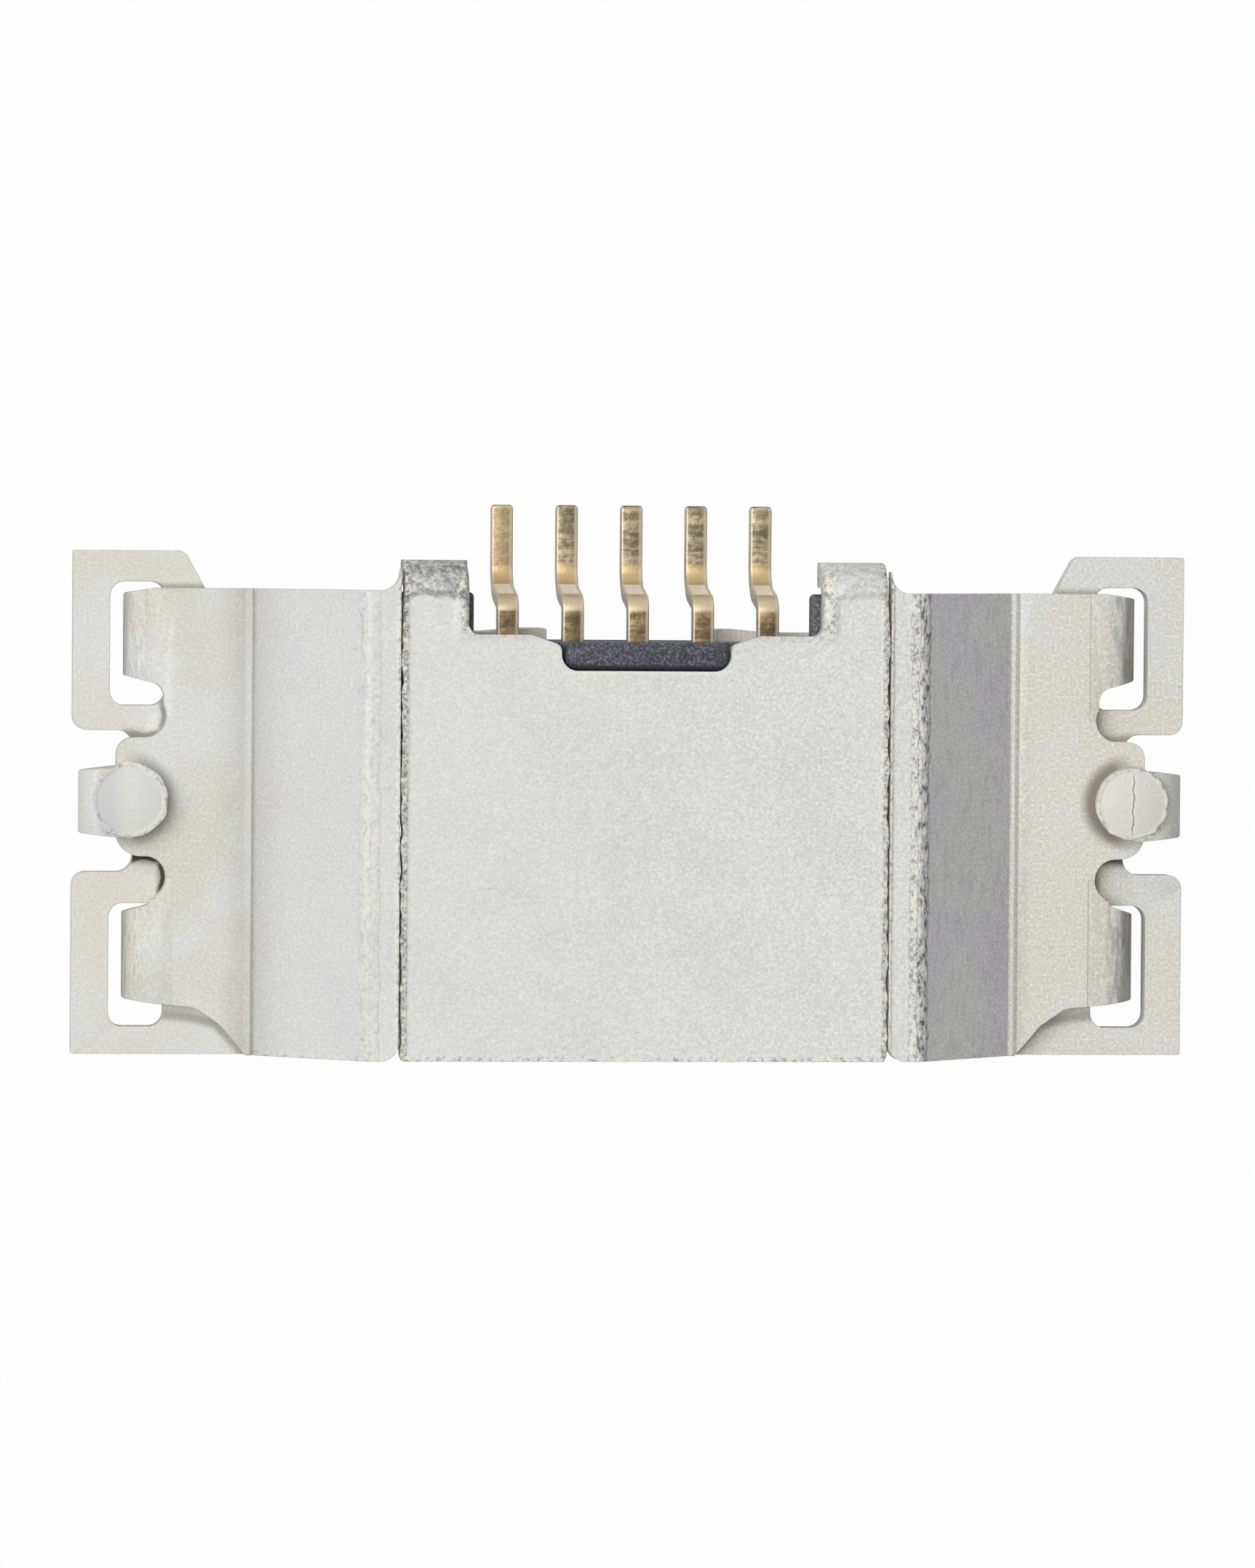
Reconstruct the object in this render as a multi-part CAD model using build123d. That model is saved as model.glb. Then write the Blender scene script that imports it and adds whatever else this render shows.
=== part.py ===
"""Micro-B socket of the sunk kind, for a board with a cut-out.

Millimetres. X is the width, with the mirror plane at x = 0. Y is the depth, with the mouth at y = 0
and the contact tails at the far end. Z is up from the board: z = 0 is the board's surface, on which
the two C-frames and the tails sit. The narrow side of the D-shaped shell faces up.
"""
import os
from math import atan2, tan

from build123d import *

# Shell sheet, shared by the lower shell, the brackets and the centre plate
sheet = 0.25

# Small rounding of punched corners, and the most a round may take of the straight beside it
corner_round = 0.02
slot_round_share = 0.45
flat_round_share = 0.9
fold_round_share = 0.98
toe_round_share = 1.2

# Mating opening
mouth_width = 6.90
mouth_height = 1.85
mouth_far_radius = 0.30

# Height of the shell above the board, and its depth from the mouth to the rear of the side frames
shell_rise = 1.52
frame_depth = 5.00

# Side frames of the lower shell
overall_width = 11.15
frame_corner_radius = 0.14
frame_bend_radius = 0.10
frame_root_inset = 1.305
frame_slant_inset = 1.105
frame_slant_radius = 0.12

# Windows in the side frames
window_outer_bar = 0.365
window_width = 0.55
window_front_bar = 0.275
window_rear_bar = 0.31
window_length = 1.225
window_radius = 0.145
arm_front_width = 0.31
arm_rear_width = 0.25

# Middle tab, folded over the bracket and pressed into a button
tab_width = 0.73
tab_end_width = 0.62
tab_corner_radius = 0.03
tab_inset = 0.05
button_diameter = 0.73
button_inset = 0.565
button_offset = 0.025
button_proud = 0.03
slot_end_inset = 0.60

# Tray of the lower shell
tray_reach = 0.05
tray_wall_setback = 0.10
tray_floor_bend = 0.10
rear_wall_inset = 0.35
rear_gap_clearance = 0.04
rear_wall_top = 0.25
rear_wall_slant = 0.035
rear_wall_slant_from = 1.05
rear_wall_slant_to = 1.45
latch_window_x = 2.00
latch_window_width = 0.80
latch_window_front = 1.45
latch_window_length = 1.15
latch_window_radius = 0.10

# Side brackets: section
valley_outset = 0.34
slope_run = 1.03
strip_width = 0.35
near_edge_radius = 0.13
valley_radius = 0.05
valley_crease = 0.02
valley_lip = 0.045
valley_dip_width = 0.22
valley_dip = 0.03
leg_inset = 0.50
leg_bend_radius = 0.06
leg_sink = 0.13
leg_corner_radius = 0.10
leg_flare = 0.10
coin_depth = 0.013
coin_inset = 0.985

# Side brackets: plan
seam_gap = 0.035
seam_mouth_radius = 0.18
seam_fillet = 0.18
seam_tip_length = 0.22
seam_tip_width = 0.03
bracket_setback = 0.37
leg_front = 0.51
leg_taper_outer = 0.085
leg_taper_inner = 0.165
leg_shrink = 0.05
leg_front_inset = 0.257
leg_rear_inset = 0.30
front_root_radius = 0.06
rear_root_radius = 0.14
notch_inset = 0.71
notch_radius = 0.21
front_throat_inset = 0.06
rear_throat_inset = 0.18
notch_front_offset = 0.262
notch_rear_offset = 0.105
lobe_front_radius = 0.24
lobe_rear_radius = 0.17
toe_start_share = 0.59
toe_middle_share = 0.33
toe_end_share = 0.07
toe_middle_y = 0.30
toe_radius = 0.22
toe_drop = 0.035

# Centre plate
plate_setback = 0.80
ear_width = 0.655
ear_setback = 0.07
ear_bend_radius = 0.10
ear_lip = 0.20
ear_root_fillet = 0.10
notch_shoulder = 0.30
notch_shoulder_radius = 0.10

# Insulator
insulator_clearance = 0.02
body_length = 1.05
body_setback = 0.07
arm_width = 0.73
arm_thickness = 0.20
arm_corner_radius = 0.05
arm_gap = 0.065
arm_top_gap = 0.12
key_width = 1.64
key_length = 0.26
key_corner_radius = 0.14
key_edge = 0.045
key_recess = 0.01
key_gap = 0.02
tongue_width = 3.70
tongue_thickness = 0.60
tongue_near_gap = 0.30
tongue_front = 0.75
tongue_nose = 0.18

# Contacts
contact_count = 5
contact_pitch = 0.65
contact_width = 0.215
contact_thickness = 0.15
contact_reach = 0.48
contact_drop_setback = 0.365
contact_drop_run = 0.134
contact_rise = 0.62
contact_shoulder_radius = 0.03
contact_foot_radius = 0.22
contact_joggle_offset = 0.30
contact_joggle_run = 0.30
contact_beam_offset = 0.17
contact_edge = 0.02
contact_tip_radius = 0.045

# Levels above the board that follow from the sizes above
near_top = shell_rise
near_inner = near_top - sheet
far_inner = near_inner - mouth_height
far_outer = far_inner - sheet
flange_top = 2 * sheet
leg_end = sheet - leg_sink
ear_end = near_top - sheet - ear_bend_radius - ear_lip
arm_top = near_inner - arm_top_gap

# Places across the width
half_width = overall_width / 2
half_mouth = mouth_width / 2
valley_x = half_mouth + valley_outset
near_corner_x = valley_x - slope_run
seam_x = near_corner_x - strip_width
ear_inner_x = seam_x - ear_width
arm_inner_x = seam_x - arm_width
leg_outer_x = half_width - leg_inset
leg_bend_x = leg_outer_x - leg_bend_radius - sheet
coin_x = half_width - coin_inset
notch_x = half_width - notch_inset
front_throat_x = notch_x - front_throat_inset
rear_throat_x = notch_x - rear_throat_inset
tab_outer_x = half_width - tab_inset
fold_x = tab_outer_x - 1.5 * sheet
button_x = half_width - button_inset
slope_angle = atan2(near_top - flange_top, slope_run)
slope_shift = sheet * tan(slope_angle / 2)
contact_x = [(i - (contact_count - 1) / 2) * contact_pitch for i in range(contact_count)]

# Places along the depth
front_window_rear = window_front_bar + window_length
rear_window_front = frame_depth - window_rear_bar - window_length
arm_front_rear = front_window_rear + arm_front_width
arm_rear_front = rear_window_front - arm_rear_width
tab_middle = (arm_front_rear + arm_rear_front) / 2
notch_front_y = front_window_rear + notch_front_offset
notch_rear_y = rear_window_front - notch_rear_offset
bracket_depth = frame_depth - bracket_setback
plate_depth = frame_depth - plate_setback
ear_depth = frame_depth - ear_setback
tray_depth = plate_depth + tray_reach
floor_end = tray_depth - 2 * sheet - tray_floor_bend
tray_wall_depth = tray_depth - tray_wall_setback
body_rear = plate_depth - body_setback
body_front = body_rear - body_length
key_front = body_rear - key_length
contact_drop_y = frame_depth - contact_drop_setback
contact_drop_angle = atan2(contact_rise, contact_drop_run)
contact_tip = frame_depth + contact_reach


def outline(corners, plane):
    """Closed face on a plane through corners given as (u, v) or (u, v, radius)."""
    points = [(c[0], c[1]) for c in corners]
    radii = [c[2] if len(c) > 2 else 0 for c in corners]
    return plane * make_face(FilletPolyline(*points, radius=radii, close=True))


def section_x(corners, y_from, y_to):
    """Solid with its section in X and Z, drawn out along the depth."""
    face = outline(corners, Plane.XZ.offset(-y_from))
    return extrude(face, amount=y_to - y_from, dir=(0, 1, 0))


def section_y(corners, x_from, x_to):
    """Solid with its section in Y and Z, drawn out along the width."""
    face = outline(corners, Plane.YZ.offset(x_from))
    return extrude(face, amount=x_to - x_from, dir=(1, 0, 0))


def plan(corners, z_from, z_to):
    """Solid with its outline in X and Y, drawn out upwards."""
    face = outline(corners, Plane.XY.offset(z_from))
    return extrude(face, amount=z_to - z_from, dir=(0, 0, 1))


def rectangle(x_from, x_to, y_from, y_to, radius=0):
    """Corners of a rectangle with one radius."""
    return [
        (x_from, y_from, radius),
        (x_to, y_from, radius),
        (x_to, y_to, radius),
        (x_from, y_to, radius),
    ]


def box(x_from, x_to, y_from, y_to, z_from, z_to):
    """Plain block between two corners."""
    size = (x_to - x_from, y_to - y_from, z_to - z_from)
    return Pos(x_from, y_from, z_from) * Box(*size, align=(Align.MIN, Align.MIN, Align.MIN))


def both_sides(solid):
    """A solid and its mirror image across the middle plane."""
    return solid + mirror(solid, about=Plane.YZ)


def single(shape):
    """A shape's solid by itself, where it has only one."""
    solids = shape.solids()
    return solids[0] if len(solids) == 1 else shape


def frame_outline():
    """Plan of the right side frame with its slots, from the tray out to the edge."""
    root = half_mouth - sheet
    tab_front = tab_middle - tab_end_width / 2
    tab_rear = tab_middle + tab_end_width / 2
    slot_x = half_width - slot_end_inset
    tab_flat = fold_x - slot_x
    largest = flat_round_share * tab_flat
    slot_front_radius = min(slot_round_share * (tab_front - arm_front_rear), largest)
    slot_rear_radius = min(slot_round_share * (arm_rear_front - tab_rear), largest)
    return [
        (root, 0),
        (half_width, 0, corner_round),
        (half_width, arm_front_rear, frame_corner_radius),
        (slot_x, arm_front_rear, slot_front_radius),
        (slot_x, tab_front, slot_front_radius),
        (fold_x, tab_front),
        (fold_x, tab_rear),
        (slot_x, tab_rear, slot_rear_radius),
        (slot_x, arm_rear_front, slot_rear_radius),
        (half_width, arm_rear_front, frame_corner_radius),
        (half_width, frame_depth, corner_round),
        (half_width - frame_slant_inset, frame_depth, frame_slant_radius),
        (half_width - frame_root_inset, bracket_depth),
        (half_mouth + 2 * sheet, tray_wall_depth),
        (root, tray_wall_depth),
    ]


def window_cutters():
    """The space of the two windows of the right side frame."""
    outer = half_width - window_outer_bar
    inner = outer - window_width
    cutters = []
    for start in (window_front_bar, rear_window_front):
        corners = rectangle(inner, outer, start, start + window_length, window_radius)
        cutters.append(plan(corners, -sheet, 2 * sheet))
    return cutters


def tray_section():
    """Section of the tray with its walls and side flanges, the same thickness all along."""
    outer_wall = half_mouth + sheet
    flange_inner = frame_bend_radius + sheet
    right = [
        (half_mouth, sheet, flange_inner),
        (half_width, sheet),
        (half_width, 0),
        (outer_wall, 0, frame_bend_radius),
        (outer_wall, far_outer, mouth_far_radius + sheet),
    ]
    left = [(-c[0], *c[1:]) for c in reversed(right)]
    floor = [(-half_mouth, far_inner, mouth_far_radius), (half_mouth, far_inner, mouth_far_radius)]
    return right + left + floor


def folded_tab():
    """The right tab: out at frame level, up and back over the bracket, with its round button."""
    root_x = half_width - slot_end_inset
    outside = [
        (root_x, tab_middle - tab_width / 2),
        (tab_outer_x, tab_middle - tab_end_width / 2, tab_corner_radius),
        (tab_outer_x, tab_middle + tab_end_width / 2, tab_corner_radius),
        (root_x, tab_middle + tab_width / 2),
    ]
    fold_outer = 1.5 * sheet
    fold_inner = 0.5 * sheet
    section = [
        (fold_x - sheet, 0),
        (tab_outer_x, 0, fold_round_share * fold_outer),
        (tab_outer_x, 3 * sheet, fold_round_share * fold_outer),
        (button_x, 3 * sheet),
        (button_x, 2 * sheet),
        (fold_x + fold_inner, 2 * sheet, fold_round_share * fold_inner),
        (fold_x + fold_inner, sheet, fold_round_share * fold_inner),
        (fold_x - sheet, sheet),
    ]
    button = Pos(button_x, tab_middle + button_offset, 2 * sheet) * Cylinder(
        button_diameter / 2, sheet + button_proud, align=(Align.CENTER, Align.CENTER, Align.MIN)
    )
    fold = section_x(section, tab_middle - tab_width, tab_middle + tab_width)
    return (fold & plan(outside, -sheet, 4 * sheet)) + button


def rear_wall():
    """Right half of the tray's rear wall, folded up from its floor and dressed back outside."""
    section = [
        (floor_end, far_outer),
        (tray_depth, far_outer, tray_floor_bend + sheet),
        (tray_depth, rear_wall_top),
        (tray_depth - sheet, rear_wall_top),
        (tray_depth - sheet, far_inner, tray_floor_bend),
        (floor_end, far_inner),
    ]
    wall_inner = key_width / 2 + rear_gap_clearance
    wall_outer = half_mouth - rear_wall_inset
    dressed = [
        (wall_inner, 0),
        (wall_outer, 0),
        (wall_outer, tray_depth - rear_wall_slant),
        (rear_wall_slant_to, tray_depth - rear_wall_slant),
        (rear_wall_slant_from, tray_depth),
        (wall_inner, tray_depth),
    ]
    return section_y(section, wall_inner, wall_outer) & plan(dressed, far_outer, rear_wall_top)


def make_lower_shell():
    """Tray, side frames, folded tabs and rear wall: one sheet."""
    fold_half = half_mouth - mouth_far_radius
    full = section_x(tray_section(), 0, frame_depth)
    keep = both_sides(plan(frame_outline(), far_outer - sheet, flange_top))
    keep += box(-half_mouth, half_mouth, 0, tray_wall_depth, far_outer - sheet, flange_top)
    keep -= box(-fold_half, fold_half, floor_end, frame_depth, far_outer - sheet, flange_top)
    shell = full & keep
    for cutter in window_cutters():
        shell -= both_sides(cutter)
    latch = rectangle(
        latch_window_x - latch_window_width / 2,
        latch_window_x + latch_window_width / 2,
        latch_window_front,
        latch_window_front + latch_window_length,
        latch_window_radius,
    )
    shell -= both_sides(plan(latch, far_outer - sheet, far_inner + sheet))
    shell += both_sides(folded_tab())
    shell += both_sides(rear_wall())
    return single(shell)


def bracket_section():
    """Section of the right bracket: strip, slope, flange and leg."""
    strip_x = seam_x + seam_gap / 2
    leg_inner_x = leg_outer_x - sheet
    return [
        (strip_x, near_top),
        (near_corner_x, near_top, near_edge_radius),
        (valley_x - valley_crease, flange_top, valley_radius),
        (valley_x, flange_top - valley_dip),
        (valley_x + valley_lip / 2, flange_top),
        (valley_x + valley_lip, flange_top),
        (valley_x + 2 * valley_lip, flange_top - valley_dip),
        (valley_x + valley_dip_width, flange_top),
        (leg_outer_x, flange_top, leg_bend_radius + sheet),
        (leg_outer_x, leg_end),
        (leg_inner_x, leg_end),
        (leg_inner_x, sheet, leg_bend_radius),
        (valley_x - slope_shift, sheet, valley_radius + sheet / 2),
        (near_corner_x - slope_shift, near_inner, near_edge_radius / 2),
        (strip_x, near_inner),
    ]


def bracket_outline():
    """Plan of the right bracket, with its toe, legs, notches and lobe."""
    strip_x = seam_x + seam_gap / 2
    beyond = leg_outer_x + sheet
    flat = leg_bend_x - valley_x
    toe_x = valley_x + toe_start_share * flat
    toe_start_radius = min(toe_radius, toe_round_share * (leg_bend_x - toe_x))
    front_leg_rear = notch_front_y - leg_front_inset
    rear_leg_front = notch_rear_y + leg_rear_inset
    return [
        (strip_x, 0, seam_mouth_radius),
        (valley_x + toe_end_share * flat, 0, corner_round),
        (valley_x + toe_middle_share * flat, toe_middle_y, toe_start_radius),
        (toe_x, leg_front - toe_drop, toe_start_radius),
        (leg_bend_x, leg_front),
        (beyond, leg_front + leg_taper_outer),
        (beyond, front_leg_rear - leg_taper_inner),
        (front_throat_x, front_leg_rear, front_root_radius),
        (front_throat_x, notch_front_y),
        (notch_x, notch_front_y),
        (notch_x, notch_front_y + notch_radius),
        (fold_x, notch_front_y + notch_radius, lobe_front_radius),
        (fold_x, notch_rear_y - notch_radius, lobe_rear_radius),
        (notch_x, notch_rear_y - notch_radius),
        (notch_x, notch_rear_y),
        (rear_throat_x, notch_rear_y),
        (rear_throat_x, rear_leg_front, rear_root_radius),
        (beyond, rear_leg_front + leg_taper_inner),
        (beyond, bracket_depth - leg_taper_outer),
        (leg_bend_x, bracket_depth),
        (strip_x + seam_tip_width, bracket_depth, seam_fillet),
        (strip_x, bracket_depth + seam_tip_length),
    ]


def flange_lobe():
    """The flat part of the flange between the notches, under the folded tab."""
    return box(leg_bend_x - sheet, fold_x, notch_front_y, notch_rear_y, sheet, flange_top)


def leg_side():
    """Side view of the legs, with the round corners at their ends."""
    lengths = (
        (leg_front + leg_shrink, notch_front_y - leg_front_inset - leg_shrink),
        (notch_rear_y + leg_rear_inset + leg_shrink, bracket_depth - leg_shrink),
    )
    sides = []
    for y_from, y_to in lengths:
        corners = [
            (y_from - leg_flare, near_top),
            (y_from - leg_flare, sheet + leg_flare),
            (y_from, sheet),
            (y_from, leg_end, leg_corner_radius),
            (y_to, leg_end, leg_corner_radius),
            (y_to, sheet),
            (y_to + leg_flare, sheet + leg_flare),
            (y_to + leg_flare, near_top),
        ]
        sides.append(section_y(corners, leg_bend_x, half_width))
    return sides[0] + sides[1]


def make_bracket():
    """Right side bracket."""
    bent = section_x(bracket_section(), 0, bracket_depth + seam_tip_length)
    inner = box(0, leg_bend_x, 0, frame_depth, leg_end, near_top)
    full = (bent & (inner + leg_side())) + flange_lobe()
    bracket = full & plan(bracket_outline(), leg_end, near_top)
    for y in (notch_front_y, notch_rear_y):
        bracket -= Pos(notch_x, y, 0) * Cylinder(notch_radius, 4 * near_top)
    coin_z = flange_top - coin_depth
    for y_from, y_to in ((0, notch_front_y), (notch_rear_y, bracket_depth)):
        bracket -= box(coin_x, half_width, y_from, y_to, coin_z, near_top)
    return single(bracket)


def make_centre_plate():
    """Centre plate with its notch and its two ears."""
    half_plate = seam_x - seam_gap / 2
    half_notch = key_width / 2 + key_gap
    notch_front = key_front - key_gap
    shoulder_y = plate_depth - notch_shoulder_radius
    right = [
        (half_plate, 0),
        (half_plate, ear_depth),
        (ear_inner_x, ear_depth),
        (ear_inner_x, plate_depth, ear_root_fillet),
        (half_notch + notch_shoulder, plate_depth, notch_shoulder_radius),
        (half_notch, shoulder_y, flat_round_share * notch_shoulder_radius),
        (half_notch, notch_front, key_corner_radius + key_gap),
    ]
    left = [(-c[0], *c[1:]) for c in reversed(right)]
    bent = [
        (0, near_top),
        (ear_depth, near_top, ear_bend_radius + sheet),
        (ear_depth, ear_end),
        (ear_depth - sheet, ear_end),
        (ear_depth - sheet, near_inner, ear_bend_radius),
        (0, near_inner),
    ]
    plate = section_y(bent, -half_plate, half_plate) & plan(right + left, ear_end, near_top)
    return single(plate)


def contact_section():
    """Side view of a contact: beam, joggle inside the body, shoulder, S-bend and tail."""
    t = contact_thickness
    beam = near_inner - tongue_near_gap - tongue_thickness
    shoulder = contact_rise
    foot_rear = contact_drop_y + contact_drop_run / 2
    shoulder_rear = contact_drop_y - contact_drop_run / 2
    inset = t * tan(contact_drop_angle / 2)
    joggle_front = body_front + contact_joggle_offset
    joggle_rear = joggle_front + contact_joggle_run
    beam_front = tongue_front + contact_beam_offset
    bend = t / 2
    return [
        (beam_front, beam),
        (joggle_front + t / 2, beam, bend),
        (joggle_rear + t / 2, shoulder, bend),
        (shoulder_rear - inset, shoulder, contact_shoulder_radius),
        (foot_rear - inset, 0, contact_foot_radius + t),
        (contact_tip, 0, contact_edge),
        (contact_tip, t, contact_edge),
        (foot_rear, t, contact_foot_radius),
        (shoulder_rear, shoulder + t, contact_shoulder_radius + t),
        (joggle_rear, shoulder + t, bend),
        (joggle_front, beam + t, bend),
        (beam_front, beam + t),
    ]


def make_contact(x):
    """One contact, centred on x."""
    x_from = x - contact_width / 2
    x_to = x + contact_width / 2
    strip = [
        (x_from, 0),
        (x_to, 0),
        (x_to, contact_tip, contact_tip_radius),
        (x_from, contact_tip, contact_tip_radius),
    ]
    return single(section_y(contact_section(), x_from, x_to) & plan(strip, 0, near_top))


def d_section(gap):
    """Section of the space inside the shell, drawn in by a gap all round."""
    inner_corner = near_corner_x - slope_shift
    drop_per_x = (near_top - flange_top) / slope_run
    lean = gap * tan(slope_angle / 2)
    side_x = half_mouth - gap
    side_z = near_inner - gap - (side_x - inner_corner + lean) * drop_per_x
    right = [
        (inner_corner - lean, near_inner - gap),
        (side_x, side_z),
        (side_x, far_inner + gap, mouth_far_radius),
    ]
    left = [(-c[0], *c[1:]) for c in reversed(right)]
    return right + left


def make_insulator(contacts):
    """Body, arms, key block and tongue: one moulding around the contacts."""
    gap = insulator_clearance
    top = near_inner - gap
    bend_start = tray_depth - sheet - tray_floor_bend
    body = section_x(d_section(gap), body_front, bend_start)
    upper_from = rear_wall_top + gap
    half_plate = seam_x - seam_gap / 2
    arm_rear = ear_depth - sheet - arm_gap
    body += box(-half_plate, half_plate, body_front, body_rear, upper_from, top)
    arm = [
        (arm_inner_x, body_front),
        (half_plate, body_front),
        (half_plate, arm_rear),
        (arm_inner_x, arm_rear, arm_corner_radius),
    ]
    body += both_sides(plan(arm, arm_top - arm_thickness, arm_top))
    half_key = key_width / 2
    body += box(-half_key, half_key, body_front, body_rear, far_inner + gap, top)
    key = [
        (-half_key, body_rear, key_edge + corner_round),
        (-half_key, key_front, key_corner_radius),
        (half_key, key_front, key_corner_radius),
        (half_key, body_rear, key_edge + corner_round),
    ]
    block = plan(key, near_inner - sheet, near_top - key_recess)
    body += chamfer(block.faces().sort_by(Axis.Z)[-1].edges(), key_edge)
    tongue_top = near_inner - tongue_near_gap
    tongue_low = tongue_top - tongue_thickness
    half_tongue = tongue_width / 2
    nose = [
        (body_front + sheet, tongue_top),
        (tongue_front + tongue_nose, tongue_top),
        (tongue_front, tongue_top - tongue_nose / 2),
        (tongue_front, tongue_low),
        (body_front + sheet, tongue_low),
    ]
    body += section_y(nose, -half_tongue, half_tongue)
    for contact in contacts:
        body -= contact
    return single(body)


def main():
    """Write one file for each piece."""
    os.makedirs("parts", exist_ok=True)
    contacts = [make_contact(x) for x in contact_x]
    bracket = make_bracket()
    pieces = {
        "lower_shell": make_lower_shell(),
        "side_bracket_right": bracket,
        "side_bracket_left": mirror(bracket, about=Plane.YZ),
        "centre_plate": make_centre_plate(),
        "insulator": make_insulator(contacts),
    }
    for number, contact in enumerate(contacts, start=1):
        pieces[f"contact_{number}"] = contact
    for name, piece in pieces.items():
        export_step(piece, f"parts/{name}.step")


main()
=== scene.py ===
from math import cos, radians, sin

import bmesh
import bpy
from mathutils import Matrix, Vector, noise


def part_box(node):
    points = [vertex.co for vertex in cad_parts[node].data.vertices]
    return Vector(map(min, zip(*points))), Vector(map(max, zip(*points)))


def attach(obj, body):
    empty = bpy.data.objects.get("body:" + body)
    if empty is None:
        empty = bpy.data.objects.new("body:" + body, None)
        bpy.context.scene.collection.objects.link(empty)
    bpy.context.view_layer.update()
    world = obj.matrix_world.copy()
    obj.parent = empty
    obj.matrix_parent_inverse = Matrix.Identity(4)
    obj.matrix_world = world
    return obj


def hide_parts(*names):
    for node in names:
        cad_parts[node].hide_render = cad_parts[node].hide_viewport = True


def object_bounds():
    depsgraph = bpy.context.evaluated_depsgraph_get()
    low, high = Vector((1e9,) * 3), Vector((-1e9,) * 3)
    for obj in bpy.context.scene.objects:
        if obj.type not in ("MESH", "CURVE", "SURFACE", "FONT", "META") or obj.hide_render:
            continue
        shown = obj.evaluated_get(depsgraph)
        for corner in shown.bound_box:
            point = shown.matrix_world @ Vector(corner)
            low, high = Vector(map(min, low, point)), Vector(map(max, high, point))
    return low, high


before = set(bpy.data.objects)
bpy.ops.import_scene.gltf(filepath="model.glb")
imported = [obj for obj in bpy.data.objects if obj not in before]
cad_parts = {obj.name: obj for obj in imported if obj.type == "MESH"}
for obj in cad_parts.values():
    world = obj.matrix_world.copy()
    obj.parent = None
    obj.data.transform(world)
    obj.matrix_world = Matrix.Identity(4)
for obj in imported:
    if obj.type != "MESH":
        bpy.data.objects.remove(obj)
cad_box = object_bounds()

# Lower shell: one folded sheet of plated alloy, with the tray, the side frames and the two
# tabs that are folded over the brackets and pressed flat as round buttons.
MM = 0.001
WELD = 1e-7
COPLANAR = radians(0.6)
SHARP = radians(28)
EDGE_SEGMENTS = 2
ROLL_SEGMENTS = 4
SORT_ALONG = Vector((1.0, 31.7, 997.3))


def sharp(edge):
    """Whether two faces meet in a sharp edge."""
    return edge.is_manifold and edge.calc_face_angle() > SHARP


def outward(edge):
    """Whether two faces meet in a sharp edge that stands out."""
    return sharp(edge) and edge.is_convex


def round_over(mesh, edges, size, segments):
    """Rounds edges over."""
    bmesh.ops.bevel(
        mesh,
        geom=edges,
        offset=size,
        segments=segments,
        profile=0.5,
        affect="EDGES",
        material=-1,
        clamp_overlap=False,
    )


def in_fixed_order(mesh):
    """Sorts a mesh by place, since cuts can leave it in an order that varies between runs."""
    mesh.verts.sort(key=lambda v: v.co.dot(SORT_ALONG))
    mesh.edges.sort(key=lambda e: (e.verts[0].co + e.verts[1].co).dot(SORT_ALONG))
    mesh.faces.sort(key=lambda f: f.calc_center_median().dot(SORT_ALONG))


def softened(node, edge, segments=EDGE_SEGMENTS, rolled=None, roll=0.0, shape=None):
    """A copy of a CAD piece with its outward edges rounded over, the rolled ones more."""
    mesh = bmesh.new()
    mesh.from_mesh(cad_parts[node].data)
    bmesh.ops.remove_doubles(mesh, verts=mesh.verts, dist=WELD)
    bmesh.ops.dissolve_limit(mesh, angle_limit=COPLANAR, verts=mesh.verts, edges=mesh.edges)
    if rolled:
        wide = [e for e in mesh.edges if all(rolled(*(v.co / MM)) for v in e.verts) and outward(e)]
        round_over(mesh, wide, roll, ROLL_SEGMENTS)
    round_over(mesh, [e for e in mesh.edges if outward(e)], edge, segments)
    if shape:
        shape(mesh)
    for face in mesh.faces:
        face.smooth = True
    for rim in mesh.edges:
        rim.smooth = not sharp(rim)
    data = bpy.data.meshes.new(node + "_softened")
    mesh.to_mesh(data)
    mesh.free()
    piece = bpy.data.objects.new(node + "_softened", data)
    bpy.context.scene.collection.objects.link(piece)
    flat = piece.modifiers.new("flat_faces", "WEIGHTED_NORMAL")
    flat.keep_sharp = True
    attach(piece, "root")
    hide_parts(node)
    return piece


def finish_nodes(name):
    """A new material with its node tree, its shader and the place in millimetres."""
    material = bpy.data.materials.new(name)
    material.use_nodes = True
    tree = material.node_tree
    place = tree.nodes.new("ShaderNodeTexCoord").outputs["Object"]
    scaled = tree.nodes.new("ShaderNodeVectorMath")
    scaled.operation = "SCALE"
    scaled.inputs["Scale"].default_value = 1 / MM
    tree.links.new(place, scaled.inputs[0])
    return material, tree, tree.nodes["Principled BSDF"], scaled.outputs[0]


def paint(piece, material):
    """Gives a piece its one finish."""
    piece.data.materials.clear()
    piece.data.materials.append(material)


def math_node(tree, operation, first, second=0.0, third=0.0):
    """One sum on numbers or sockets."""
    node = tree.nodes.new("ShaderNodeMath")
    node.operation = operation
    for socket, value in zip(node.inputs, (first, second, third)):
        if isinstance(value, (int, float)):
            socket.default_value = value
        else:
            tree.links.new(value, socket)
    return node.outputs[0]


def axes_of(tree, place):
    """The three coordinates of a place."""
    split = tree.nodes.new("ShaderNodeSeparateXYZ")
    tree.links.new(place, split.inputs[0])
    return split.outputs[0], split.outputs[1], split.outputs[2]


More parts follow.
